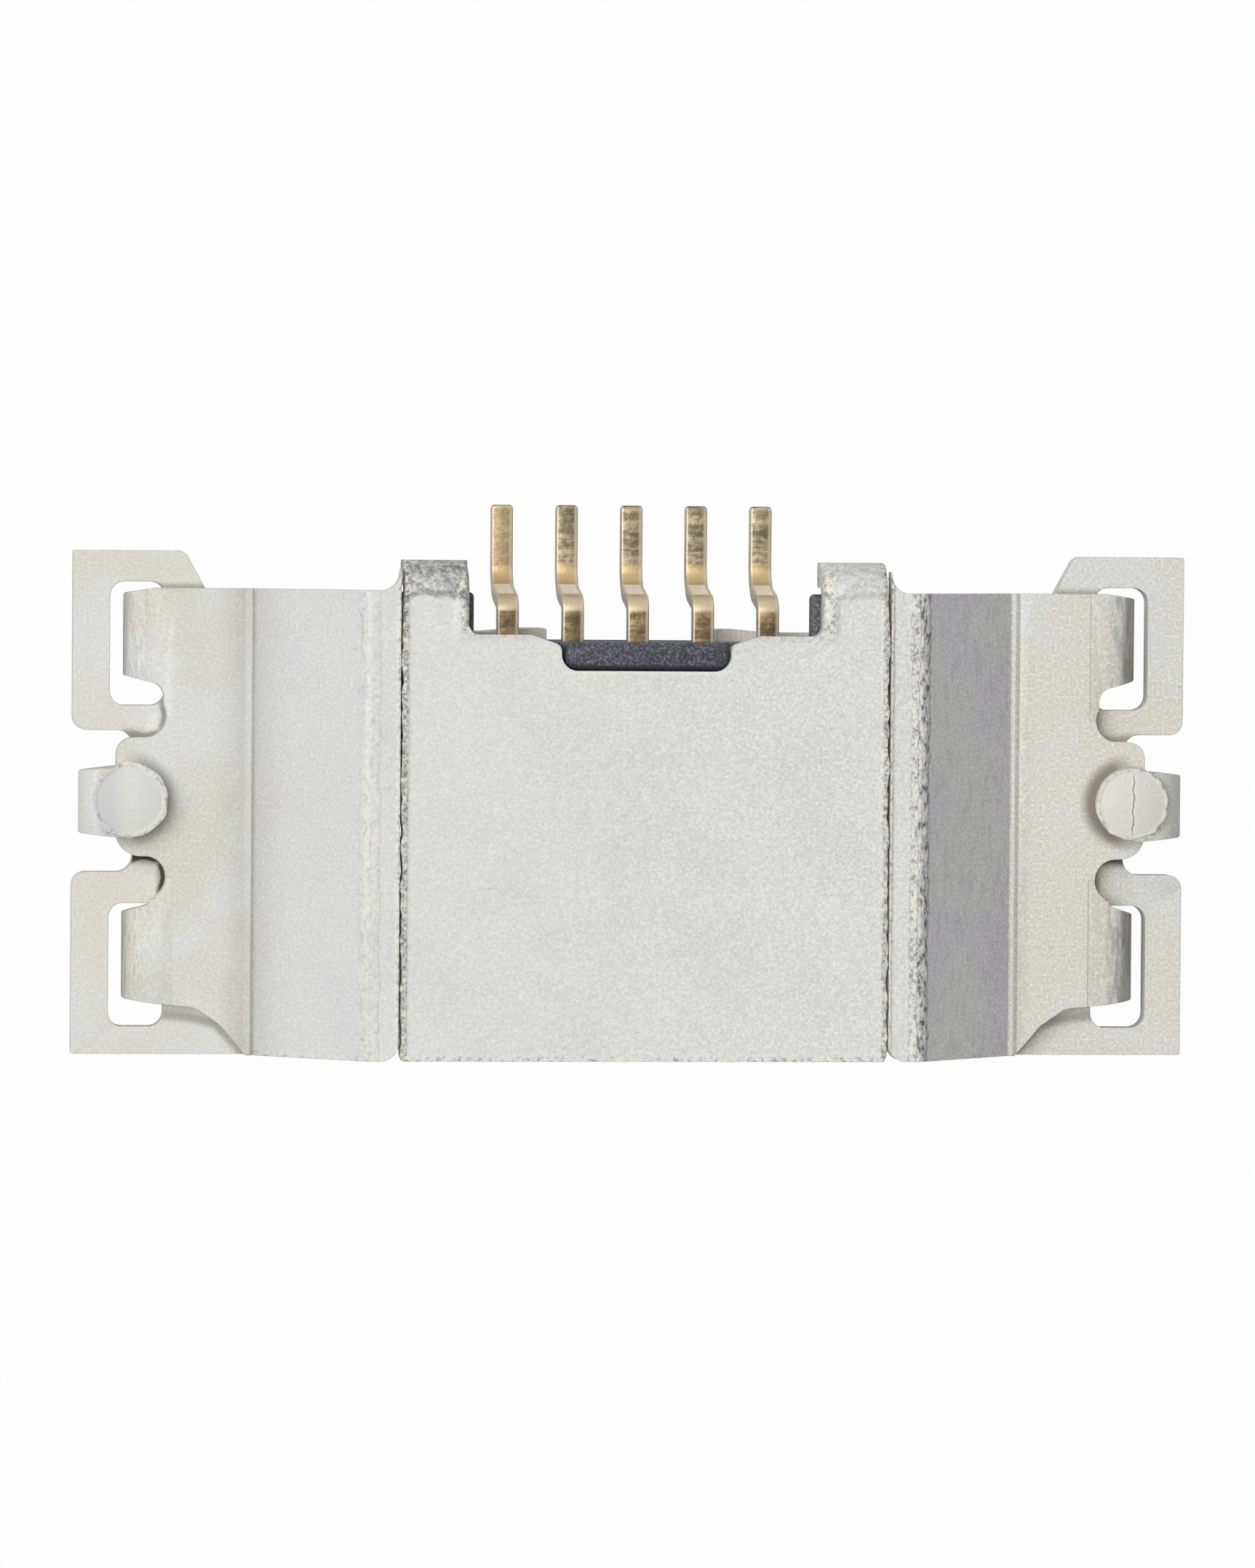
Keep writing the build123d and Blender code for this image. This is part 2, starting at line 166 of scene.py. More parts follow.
def grain(tree, place, scale, detail=2.0, roughness=0.5, stretch=(1, 1, 1)):
    """Noise from 0 to 1, with its scale per millimetre and a stretch along the axes."""
    placed = tree.nodes.new("ShaderNodeMapping")
    placed.inputs["Scale"].default_value = stretch
    tree.links.new(place, placed.inputs["Vector"])
    texture = tree.nodes.new("ShaderNodeTexNoise")
    texture.inputs["Scale"].default_value = scale
    texture.inputs["Detail"].default_value = detail
    texture.inputs["Roughness"].default_value = roughness
    tree.links.new(placed.outputs[0], texture.inputs["Vector"])
    return texture.outputs["Fac"]


def wavering(tree, place, value, amount, scale, detail=4.0, roughness=0.7):
    """A coordinate shifted either way by noise, for masks with a wavering edge."""
    start = math_node(tree, "SUBTRACT", value, amount / 2)
    waves = grain(tree, place, scale, detail, roughness)
    return math_node(tree, "MULTIPLY_ADD", waves, amount, start)


def ramp(tree, value, low, high, start=0.0, end=1.0):
    """A smooth step of a value between two limits."""
    node = tree.nodes.new("ShaderNodeMapRange")
    node.interpolation_type = "SMOOTHSTEP"
    tree.links.new(value, node.inputs["Value"])
    node.inputs["From Min"].default_value = low
    node.inputs["From Max"].default_value = high
    node.inputs["To Min"].default_value = start
    node.inputs["To Max"].default_value = end
    return node.outputs[0]


def by_side(tree, x, left, right):
    """One strength on the left half and another on the right half."""
    return ramp(tree, x, low=-1.0, high=1.0, start=left, end=right)


def band(tree, value, middle, half_width, soft):
    """1 inside a band of a value, falling to 0 over a soft edge."""
    offset = math_node(tree, "ABSOLUTE", math_node(tree, "SUBTRACT", value, middle))
    return ramp(tree, offset, half_width, half_width + soft, start=1.0, end=0.0)


def folded(tree, operation, values):
    """Masks joined by one operation, from the first to the last."""
    result = values[0]
    for value in values[1:]:
        result = math_node(tree, operation, result, value)
    return result


def product(tree, *masks):
    """The product of masks."""
    return folded(tree, "MULTIPLY", masks)


def largest(tree, *masks):
    """The largest of masks."""
    return folded(tree, "MAXIMUM", masks)


def distance_of(tree, across, along):
    """The distance in plan, from its two parts."""
    along_squared = math_node(tree, "MULTIPLY", along, along)
    squares = math_node(tree, "MULTIPLY_ADD", across, across, along_squared)
    return math_node(tree, "SQRT", squares)


def reach(tree, place, x, y, pushed=0.0):
    """The way in plan from a point and its mirror image, both pushed to the left."""
    place_x, place_y, _ = axes_of(tree, place)
    mirrored = math_node(tree, "ABSOLUTE", math_node(tree, "ADD", place_x, pushed))
    across = math_node(tree, "SUBTRACT", mirrored, x)
    along = math_node(tree, "SUBTRACT", place_y, y)
    return distance_of(tree, across, along), across, along


def beside_line(tree, across, along, start, end, near, far):
    """1 near a straight line in plan, falling to 0 further out."""
    run, rise = end[0] - start[0], end[1] - start[1]
    u = math_node(tree, "SUBTRACT", across, start[0])
    v = math_node(tree, "SUBTRACT", along, start[1])
    share = math_node(tree, "MULTIPLY_ADD", u, run, math_node(tree, "MULTIPLY", v, rise))
    share = math_node(tree, "DIVIDE", share, run**2 + rise**2)
    share = math_node(tree, "MINIMUM", math_node(tree, "MAXIMUM", share, 0.0), 1.0)
    u = math_node(tree, "MULTIPLY_ADD", share, -run, u)
    v = math_node(tree, "MULTIPLY_ADD", share, -rise, v)
    return ramp(tree, distance_of(tree, u, v), far, near)


def blend_colour(tree, share, first, second):
    """A mix of two colours, each a socket or red, green and blue."""
    node = tree.nodes.new("ShaderNodeMix")
    node.data_type = "RGBA"
    tree.links.new(share, node.inputs["Factor"])
    for name, colour in (("A", first), ("B", second)):
        socket = [s for s in node.inputs if s.name == name and s.type == "RGBA"][0]
        if isinstance(colour, tuple):
            socket.default_value = (*colour, 1.0)
        else:
            tree.links.new(colour, socket)
    return [s for s in node.outputs if s.type == "RGBA"][0]


def tinted(tree, colour, mask, other, strength=1.0):
    """A colour mixed with another where a mask is 1."""
    return blend_colour(tree, math_node(tree, "MULTIPLY", mask, strength), colour, other)


def relief(tree, shader, *layers):
    """Bump from pairs of a height from 0 to 1 and its depth in millimetres."""
    normal = None
    for height, depth in layers:
        bump = tree.nodes.new("ShaderNodeBump")
        bump.inputs["Distance"].default_value = depth * MM
        tree.links.new(height, bump.inputs["Height"])
        if normal:
            tree.links.new(normal, bump.inputs["Normal"])
        normal = bump.outputs[0]
    tree.links.new(normal, shader.inputs["Normal"])


PLATED = (0.700, 0.706, 0.672)
PLATED_GREY = (0.672, 0.680, 0.668)
PLATED_WARM = (0.672, 0.648, 0.568)
PLATED_DARK = (0.13, 0.125, 0.12)
PLATED_DULL = (0.46, 0.45, 0.48)
PLATED_BRIGHT = (0.90, 0.90, 0.86)
CREAM = (0.86, 0.79, 0.66)
# a brown for soil and painted shade, and a near-black for painted shadow lines
SOIL_AND_SHADE = (0.13, 0.10, 0.07)
RIM_SHADOW_BLACK = (0.012, 0.011, 0.012)
CLOUD_SCALE = 1.1
CLOUD_RANGE = (0.35, 0.65)
GRAIN_SCALE = 36.0
GRAIN_DEPTH = 0.0028
GRAIN_LOW, GRAIN_MIDDLE, GRAIN_HIGH = 0.30, 0.50, 0.70
GRAIN_LEFT_X, GRAIN_RIGHT_X = -3.5, 3.0
GRAIN_ON_LEFT = 0.60
PIT_SCALE = 8.0
PIT_RANGE = (0.71, 0.78)
CRAZE_SCALE = 19.0
CRAZE_PALE_RANGE = (0.51, 0.59)
CRAZE_DEEP_RANGE = (0.47, 0.39)
PLATING_METALLIC = 0.18
PLATING_ROUGHNESS = 0.66


def plated_base(tree, place, base, other):
    """Matt plating, clouded and with grain and a few pits: its colour and its grain."""
    cloud = ramp(tree, grain(tree, place, CLOUD_SCALE, detail=3.0), *CLOUD_RANGE)
    colour = blend_colour(tree, cloud, base, other)
    fine = grain(tree, place, GRAIN_SCALE)
    x = axes_of(tree, place)[0]
    rough = ramp(tree, x, GRAIN_LEFT_X, GRAIN_RIGHT_X, start=GRAIN_ON_LEFT)
    dark = product(tree, ramp(tree, fine, GRAIN_MIDDLE, GRAIN_LOW), rough)
    bright = product(tree, ramp(tree, fine, GRAIN_MIDDLE, GRAIN_HIGH), rough)
    colour = tinted(tree, colour, dark, PLATED_DARK, strength=0.15)
    colour = tinted(tree, colour, bright, PLATED_BRIGHT, strength=0.55)
    pits = ramp(tree, grain(tree, place, PIT_SCALE), *PIT_RANGE)
    colour = tinted(tree, colour, pits, PLATED_DARK, strength=0.16)
    return colour, product(tree, fine, rough)


def crazed(
    tree, place, colour, mask, light, dark, bright=CREAM, scale=CRAZE_SCALE, stretch=(1, 1, 1)
):
    """Crazed plating where a mask is 1: its light and dark specks, and their height."""
    speck = grain(tree, place, scale, detail=4.0, roughness=0.65, stretch=stretch)
    pale = product(tree, mask, ramp(tree, speck, *CRAZE_PALE_RANGE))
    deep = product(tree, mask, ramp(tree, speck, *CRAZE_DEEP_RANGE))
    colour = tinted(tree, colour, pale, bright, strength=light)
    colour = tinted(tree, colour, deep, PLATED_DARK, strength=dark)
    return colour, product(tree, speck, mask)


def set_plating(tree, shader, colour):
    """The shine of matt tin plating."""
    tree.links.new(colour, shader.inputs["Base Color"])
    shader.inputs["Metallic"].default_value = PLATING_METALLIC
    shader.inputs["Roughness"].default_value = PLATING_ROUGHNESS


PUNCHED_EDGE = 0.012 * MM
BUTTON_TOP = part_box("lower_shell")[1].z / MM
BUTTON_X = 5.01
BUTTON_Y = 2.5375
BUTTON_RADIUS = 0.365
BUTTON_PROUD = 0.03
BUTTON_PUSHED = 0.027
BUTTON_GROWN = {-1: 0.010, 1: -0.008}
BUTTON_UNEVEN = 0.030
BUTTON_WAVES = 2.6
BUTTON_WAVE_SEED = 4.0
BUTTON_SLACK = 0.002
BUTTON_INSIDE = 0.1
BUTTON_OUTSIDE = 0.02
BUTTON_WORN_FROM, BUTTON_WORN_FULL = 0.10, 0.05
BUTTON_DULL_FROM_X, BUTTON_DULL_FULL_X = -5.00, -5.28
BUTTON_RIM_DEPTH = 0.014
FRAME_TOP = 0.25
NOTCH_X = 4.865
NOTCH_RADIUS = 0.21
NOTCH_FRONT_Y = 1.762
NOTCH_REAR_Y = 3.36
NOTCH_SHADE_SOIL_WIDTH, NOTCH_SHADE_SOIL_FULL = 0.12, 0.04
NOTCH_SHADOW_WIDTH, NOTCH_SHADOW_FULL = 0.10, 0.04
NOTCH_FRONT_SHADE_SOIL = 0.9
NOTCH_REAR_SHADE_SOIL = 0.4
BRACKET_FLANGE_X = 4.0
BRACKET_REAR_Y = max(
    vertex.co.y / MM
    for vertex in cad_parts["side_bracket_left"].data.vertices
    if abs(vertex.co.x) > BRACKET_FLANGE_X * MM
)
REAR_LINE = ((4.15, BRACKET_REAR_Y), (4.80, BRACKET_REAR_Y))
TOE_LINE = ((3.86, 0.0), (4.14, 0.30), (4.415, 0.365), (4.80, 0.40))
LINE_SHADE_SOIL_WIDTH = 0.08
LINE_SHADE_SOIL = 0.45
CRACK_HALF_LENGTH = 0.34
CRACK_END = 0.1
CRACK_HALF_WIDTH = 0.001
CRACK_WAVER = 0.10
CRACK_FROM, CRACK_FULL = 0.05, 0.01
CRACK_DEPTH = 0.006
LIP_HALF_WIDTH = 0.02


def pressed_buttons(mesh):
    """Pushes both buttons a little to the left, as the press did, with uneven rims."""
    for vertex in mesh.verts:
        x, y, z = vertex.co / MM
        side = 1 if x > 0 else -1
        beside, along = x - side * BUTTON_X, y - BUTTON_Y
        reached = (beside**2 + along**2) ** 0.5
        on_top = z > BUTTON_TOP - BUTTON_PROUD - BUTTON_SLACK
        if on_top and BUTTON_INSIDE < reached < BUTTON_RADIUS + BUTTON_OUTSIDE:
            turn = (BUTTON_WAVES * beside / reached, BUTTON_WAVES * along / reached)
            wave = noise.noise((*turn, BUTTON_WAVE_SEED * side))
            grown = (BUTTON_GROWN[side] + BUTTON_UNEVEN * wave) / reached
            vertex.co.x += (beside * grown - BUTTON_PUSHED) * MM
            vertex.co.y += along * grown * MM


shell_finish, tree, shader, place = finish_nodes("shell_plating_matt")
x, y, z = axes_of(tree, place)
colour, fine = plated_base(tree, place, PLATED_WARM, PLATED_GREY)
on_frame = band(tree, z, FRAME_TOP, half_width=0.01, soft=0.02)

# painted shade and soil in the round notches, with a near-black painted shadow line under the
# bracket's edge
for notch_y, way, strength in (
    (NOTCH_FRONT_Y, 1, NOTCH_FRONT_SHADE_SOIL),
    (NOTCH_REAR_Y, -1, NOTCH_REAR_SHADE_SOIL),
):
    distance, across, along = reach(tree, place, NOTCH_X, notch_y)
    towards_button = math_node(tree, "MULTIPLY", along, way)
    inwards = math_node(tree, "MULTIPLY", across, -1.0)
    edgeward = largest(tree, towards_button, inwards)
    shade_and_soil = product(
        tree,
        on_frame,
        ramp(tree, edgeward, NOTCH_RADIUS - NOTCH_SHADE_SOIL_WIDTH, NOTCH_RADIUS),
        ramp(tree, distance, NOTCH_RADIUS + NOTCH_SHADE_SOIL_WIDTH, NOTCH_RADIUS + NOTCH_SHADE_SOIL_FULL),
    )
    colour = tinted(tree, colour, shade_and_soil, SOIL_AND_SHADE, strength)
    rim_shadow = product(
        tree,
        on_frame,
        band(tree, distance, NOTCH_RADIUS, half_width=0.03, soft=0.02),
        by_side(tree, x, left=1.0, right=0.5),
        ramp(tree, edgeward, NOTCH_RADIUS - NOTCH_SHADOW_WIDTH, NOTCH_RADIUS - NOTCH_SHADOW_FULL),
    )
    colour = tinted(tree, colour, rim_shadow, RIM_SHADOW_BLACK, strength)

# painted shade and soil on the frames along the brackets' rear edges and toes, at the foot of
# their steps
outer = math_node(tree, "ABSOLUTE", x)
toe = largest(
    tree,
    *(
        beside_line(tree, outer, y, start, end, near=0.01, far=LINE_SHADE_SOIL_WIDTH)
        for start, end in zip(TOE_LINE, TOE_LINE[1:])
    ),
)
rear = beside_line(tree, outer, y, *REAR_LINE, near=0.0, far=LINE_SHADE_SOIL_WIDTH)
shade_and_soil = product(tree, on_frame, largest(tree, toe, rear))
colour = tinted(tree, colour, shade_and_soil, SOIL_AND_SHADE, LINE_SHADE_SOIL)

# the buttons' tops: the left one dulled, the right one cracked, both with a crazed rim
above = ramp(tree, z, BUTTON_TOP - BUTTON_WORN_FROM, BUTTON_TOP - BUTTON_WORN_FULL)
colour = tinted(tree, colour, above, PLATED, strength=0.6)
dull = product(tree, ramp(tree, x, BUTTON_DULL_FROM_X, BUTTON_DULL_FULL_X), above)
colour = tinted(tree, colour, dull, PLATED_DULL, strength=0.55)
pushed = math_node(tree, "ADD", x, BUTTON_PUSHED)
crack_x = wavering(tree, place, pushed, CRACK_WAVER, scale=7.0, detail=3.0, roughness=0.5)
crack_run = product(
    tree,
    band(tree, y, BUTTON_Y, CRACK_HALF_LENGTH - CRACK_END, soft=CRACK_END),
    ramp(tree, z, BUTTON_TOP - CRACK_FROM, BUTTON_TOP - CRACK_FULL),
)
crack = product(tree, band(tree, crack_x, BUTTON_X, CRACK_HALF_WIDTH, soft=0.008), crack_run)
lips = product(tree, band(tree, crack_x, BUTTON_X, LIP_HALF_WIDTH, soft=0.03), crack_run)
colour = tinted(tree, colour, lips, PLATED_BRIGHT, strength=0.25)
colour = tinted(tree, colour, crack, PLATED_DARK, strength=0.70)
distance = reach(tree, place, BUTTON_X, BUTTON_Y, BUTTON_PUSHED)[0]
rim = band(tree, distance, BUTTON_RADIUS, half_width=0.015, soft=0.04)
colour, specks = crazed(tree, place, colour, product(tree, rim, above), light=0.5, dark=0.40)

set_plating(tree, shader, colour)
uncracked = math_node(tree, "SUBTRACT", 1.0, crack)
relief(
    tree,
    shader,
    (fine, GRAIN_DEPTH),
    (uncracked, CRACK_DEPTH),
    (specks, BUTTON_RIM_DEPTH),
)
paint(softened("lower_shell", PUNCHED_EDGE, shape=pressed_buttons), shell_finish)

# Side brackets: two mirrored sheets of the same plated alloy, each with a strip, a slope, a
# flange under the button and two short tabs bent down into the windows of the side frame.
PLATED_TAN = (0.630, 0.606, 0.528)
PLATED_SLOPE = (0.664, 0.658, 0.664)
PLATED_VIOLET_REFLECTION = (0.645, 0.622, 0.686)
PEEL_SCALE = 11.0
STREAK_SCALE = 14.0
WRINKLE_SCALE = 9.0
CRUMPLE_DEPTH = 0.016
FOLD_DEPTH = 0.060
FRONT_CRAZE_Y = 0.09
STRIP_CRAZE_EDGE = 0.1
SEAM_X = 2.41
SEAM_CRAZE_FAR, SEAM_EDGE_FAR, SEAM_CRAZE_FULL = 0.09, 0.06, 0.03
NEAR_BEND_X = 2.73
NEAR_BEND_HIGHLIGHT_X = NEAR_BEND_X - 0.055
NEAR_BEND_SHADE_X = NEAR_BEND_X + 0.035
SLOPE_X = 2.82
VALLEY_X = 3.79
VALLEY_SHADE_X = VALLEY_X + 0.05
BEND_SOFT = 0.02
BEND_WAVER = 0.10
HALO_WIDTH, HALO_FULL = 0.16, 0.01
LEG_BEND_X = 4.85
LEG_START, LEG_FULL = 0.88, 1.02
LEG_CREASE_X = LEG_BEND_X - 0.12
LEG_SHADE_END_X = LEG_BEND_X + 0.16
LEG_EDGE_X, LEG_END_X = LEG_BEND_X + 0.14, LEG_BEND_X + 0.24
FOLD_HALF = 0.05
FOLD_TOP, FOLD_LOW = 0.51, 0.44

bracket_finish, tree, shader, place = finish_nodes("bracket_plating_matt")
x, y, z = axes_of(tree, place)
across = math_node(tree, "ABSOLUTE", x)
on_right = by_side(tree, x, left=0.0, right=1.0)
slope = ramp(tree, across, SLOPE_X - BEND_SOFT, SLOPE_X + BEND_SOFT)
flange = ramp(tree, across, VALLEY_X - BEND_SOFT, VALLEY_X + BEND_SOFT)
# the right slope tinted violet, a painted reflection of its darker surroundings
slope_reflection_tint = blend_colour(tree, on_right, PLATED_SLOPE, PLATED_VIOLET_REFLECTION)
tan = blend_colour(tree, on_right, PLATED_TAN, PLATED_WARM)
sheet = blend_colour(tree, flange, blend_colour(tree, slope, PLATED, slope_reflection_tint), tan)
colour, fine = plated_base(tree, place, sheet, PLATED_GREY)

# crazing on the strip, along the seam and at the front edge
strip = product(
    tree,
    ramp(tree, across, SLOPE_X, SLOPE_X - STRIP_CRAZE_EDGE),
    ramp(tree, y, low=-1.0, high=5.0, start=0.05, end=0.5),
    by_side(tree, x, left=0.4, right=0.7),
)
seam = product(
    tree,
    ramp(tree, across, SEAM_X + SEAM_CRAZE_FAR, SEAM_X + SEAM_CRAZE_FULL),
    ramp(tree, y, low=1.0, high=4.0, start=0.5, end=1.0),
    by_side(tree, x, left=0.7, right=1.0),
)
front = ramp(tree, y, FRONT_CRAZE_Y, 0.0)
edges = largest(tree, strip, seam, front)
colour, specks = crazed(tree, place, colour, edges, light=0.35, dark=0.30)
seam_edge = ramp(tree, across, SEAM_X + SEAM_EDGE_FAR, SEAM_X + SEAM_CRAZE_FULL)
colour, seam_specks = crazed(tree, place, colour, seam_edge, light=0.8, dark=0.4)

# faint streaks down the right slope
upright = grain(tree, place, STREAK_SCALE, detail=3.0, roughness=0.6, stretch=(1, 0.3, 1))
below_valley = math_node(tree, "SUBTRACT", 1.0, flange)
on_slope = product(tree, slope, below_valley, on_right)
streaks = product(tree, on_slope, ramp(tree, upright, low=0.50, high=0.36))
colour = tinted(tree, colour, streaks, PLATED_DARK, strength=0.12)

# the crumpled bend at the top of the slope: crazed specks, with a painted highlight on its near
# side and painted shade on its far side, both stronger on the right
bend_x = wavering(tree, place, across, BEND_WAVER, scale=6.0)
near_side = band(tree, bend_x, NEAR_BEND_HIGHLIGHT_X, half_width=0.03, soft=0.03)
near_bend_highlight = product(tree, near_side, by_side(tree, x, left=0.25, right=1.0))
far_side = band(tree, bend_x, NEAR_BEND_SHADE_X, half_width=0.04, soft=0.03)
near_bend_shade = product(tree, far_side, by_side(tree, x, left=0.2, right=1.0))
colour, light_specks = crazed(
    tree, place, colour, near_bend_highlight, light=0.95, dark=0.55, scale=20.0
)
colour = tinted(tree, colour, near_bend_shade, PLATED_DARK, strength=0.22)
colour, dark_specks = crazed(
    tree,
    place,
    colour,
    near_bend_shade,
    light=0.75,
    dark=0.95,
    bright=PLATED_BRIGHT,
    scale=24.0,
    stretch=(1, 0.5, 1),
)

# painted shade in the valley, stronger on the left, and a ring of soil and painted shade round
# each button's inner side
in_valley = band(tree, across, VALLEY_SHADE_X, half_width=0.03, soft=0.40)
valley_shade = product(tree, in_valley, by_side(tree, x, left=1.0, right=0.2))
colour = tinted(tree, colour, valley_shade, SOIL_AND_SHADE, strength=0.17)
distance, beside, _ = reach(tree, place, BUTTON_X, BUTTON_Y, BUTTON_PUSHED)
halo_shade_soil = product(
    tree,
    ramp(tree, distance, BUTTON_RADIUS + HALO_WIDTH, BUTTON_RADIUS + HALO_FULL),
    ramp(tree, beside, low=0.10, high=-0.20),
    by_side(tree, x, left=0.50, right=1.0),
)
colour = tinted(tree, colour, halo_shade_soil, SOIL_AND_SHADE, strength=0.80)

# painted shade on the tabs' folds, which start clear of the button: in the creases and across the
# fold on the right, and at both tabs' outer ends
from_button = math_node(tree, "ABSOLUTE", math_node(tree, "SUBTRACT", y, BUTTON_Y))
legs = ramp(tree, from_button, LEG_START, LEG_FULL)
wrinkles = grain(tree, place, WRINKLE_SCALE, detail=3.0, roughness=0.6, stretch=(1, 0.25, 1))
crease_shade = product(
    tree,
    legs,
    on_right,
    ramp(tree, across, LEG_CREASE_X, LEG_BEND_X),
    ramp(tree, wrinkles, low=0.54, high=0.40),
)
colour = tinted(tree, colour, crease_shade, PLATED_DARK, strength=0.35)
fold_shade = largest(
    tree,
    product(tree, on_right, ramp(tree, across, LEG_CREASE_X, LEG_SHADE_END_X)),
    ramp(tree, across, LEG_EDGE_X, LEG_END_X, end=0.6),
)
colour = tinted(tree, colour, product(tree, legs, fold_shade), PLATED_DARK, strength=0.42)

set_plating(tree, shader, colour)
crumpled = largest(tree, light_specks, dark_specks, seam_specks)
peeling = largest(tree, strip, near_bend_highlight, near_bend_shade)
peel = product(tree, grain(tree, place, PEEL_SCALE), peeling)
fold = product(
    tree,
    ramp(tree, across, LEG_BEND_X - FOLD_HALF, LEG_BEND_X + FOLD_HALF),
    ramp(tree, z, FOLD_TOP, FOLD_LOW),
)
relief(
    tree,
    shader,
    (fine, GRAIN_DEPTH),
    (specks, CRUMPLE_DEPTH / 2),
    (crumpled, CRUMPLE_DEPTH),
    (peel, CRUMPLE_DEPTH),
    (product(tree, wrinkles, fold), FOLD_DEPTH),
)
for side in ("left", "right"):
    paint(softened("side_bracket_" + side, PUNCHED_EDGE), bracket_finish)

# Centre plate: one flat sheet between the two seams, with a notch for the moulding's key
# and two ears bent down behind the moulding. The bends are rough where the plating crazed.
PLATE_TOP = 1.52
PLATE_HALF = max(v.co.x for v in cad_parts["centre_plate"].data.vertices) / MM
EAR_START_Y = 4.26
EAR_BEND_Y = 4.60
EAR_CREASE_Y = 4.85
EAR_WAVER = 0.16
EAR_DARK_BEFORE, EAR_DARK_AFTER = 0.06, 0.04
EAR_INNER_X = (1.70, 1.80)
INNER_RIM_X, INNER_RIM_FULL_X = 1.93, 1.84
INNER_RIM_Y, INNER_RIM_FULL_Y = 4.12, 4.25
INNER_RIM_LOW, INNER_RIM_FULL_LOW = 0.2, 0.1
BEND_CENTRE_Y, BEND_CENTRE_Z = 4.58, 1.17
BEND_RADIUS = 0.35
FLAT_SLACK, BEND_SLACK = 0.005, 0.01
ROLLED_EDGE = 0.07 * MM
NOTCH_RIM_Y = 3.838
NOTCH_RIM_X, NOTCH_RIM_FULL_X = 0.86, 0.80
SEAM_START_Y, SEAM_END_Y = 0.02, 4.20
SEAM_CUTS = 70
SEAM_FACE = 0.02
SEAM_PRESSED = 0.019
SEAM_UNEVEN = 0.014
SEAM_WAVES, SEAM_RIPPLES = 5.0, 16.0
SEAM_WAVE_GAIN = 1.6
SEAM_SIDE_SEED = 7.0
SEAM_RIPPLE_SEED = 3.0
SEAM_RIM, SEAM_RIM_FULL = 0.055, 0.025
PLATE_CRAZE_DEPTH = 0.012
PLATE_PEEL_DEPTH = 0.022


def ear_edge(x, y, z):
    """The upper inner edge of an ear, rolled down in bending."""
    if y < BEND_CENTRE_Y:
        on_outer_face = z > PLATE_TOP - FLAT_SLACK
    else:
        from_centre = ((y - BEND_CENTRE_Y) ** 2 + (z - BEND_CENTRE_Z) ** 2) ** 0.5
        on_outer_face = from_centre > BEND_RADIUS - BEND_SLACK
    on_inner_side = EAR_INNER_X[0] < abs(x) < EAR_INNER_X[1]
    return on_inner_side and y > EAR_START_Y and z > BEND_CENTRE_Z and on_outer_face


def uneven_seams(mesh):
    """Makes the plate's two long edges uneven, as they are where the seams are pressed shut."""
    inner = PLATE_HALF - SEAM_FACE
    for step in range(1, SEAM_CUTS):
        sides = [f for f in mesh.faces if all(abs(v.co.x) > inner * MM for v in f.verts)]
        parts = dict.fromkeys(p for f in sides for p in (f, *f.edges, *f.verts))
        bmesh.ops.bisect_plane(
            mesh,
            geom=list(parts),
            plane_co=(0, SEAM_END_Y * MM * step / SEAM_CUTS, 0),
            plane_no=(0, 1, 0),
        )
    for vertex in mesh.verts:
        x, y, _ = vertex.co / MM
        if abs(x) > inner and SEAM_START_Y < y < SEAM_END_Y:
            wave = noise.noise((SEAM_SIDE_SEED * x, SEAM_WAVES * y, 0.0))
            wave += noise.noise((SEAM_SIDE_SEED * x, SEAM_RIPPLES * y, SEAM_RIPPLE_SEED))
            wave = max(-1.0, min(1.0, SEAM_WAVE_GAIN * wave))
            shift = SEAM_PRESSED + SEAM_UNEVEN * wave
            vertex.co.x += (shift if x > 0 else -shift) * MM
    in_fixed_order(mesh)


plate_finish, tree, shader, place = finish_nodes("plate_plating_matt")
x, y, z = axes_of(tree, place)
across = math_node(tree, "ABSOLUTE", x)
colour, fine = plated_base(tree, place, PLATED, PLATED_GREY)

# the darkened left ear, and painted shade along both ears' bend lines, stronger on the left
ear_y = wavering(tree, place, y, EAR_WAVER, scale=4.0, roughness=0.65)
ear = ramp(tree, ear_y, EAR_BEND_Y - EAR_DARK_BEFORE, EAR_BEND_Y + EAR_DARK_AFTER)
ear_dark = product(tree, ear, by_side(tree, x, left=1.0, right=0.0))
colour = tinted(tree, colour, ear_dark, PLATED_DARK, strength=0.40)
ear_bend_shade = largest(
    tree,
    band(tree, ear_y, EAR_BEND_Y, half_width=0.010, soft=0.04),
    band(tree, ear_y, EAR_CREASE_Y, half_width=0.010, soft=0.03),
)
ear_bend_shade = product(tree, ear_bend_shade, by_side(tree, x, left=1.0, right=0.3))
colour = tinted(tree, colour, ear_bend_shade, PLATED_DARK, strength=0.45)

# crazing along the seams, the front edge, the ears and their inner rims
seam = product(
    tree,
    ramp(tree, across, SEAM_X - SEAM_CRAZE_FAR, SEAM_X - SEAM_CRAZE_FULL),
    ramp(tree, y, low=1.0, high=4.0, start=0.6, end=1.0),
)
front = ramp(tree, y, FRONT_CRAZE_Y, 0.0)
seam_rim = ramp(tree, across, PLATE_HALF - SEAM_RIM, PLATE_HALF - SEAM_RIM_FULL)
colour = tinted(tree, colour, seam_rim, SOIL_AND_SHADE, strength=0.30)
edges = largest(tree, seam, front)
colour, specks = crazed(tree, place, colour, edges, light=0.60, dark=0.60)
colour, seam_specks = crazed(tree, place, colour, seam_rim, light=0.75, dark=0.65, scale=26.0)
worn_ears = product(tree, ear, by_side(tree, x, left=1.0, right=0.35))
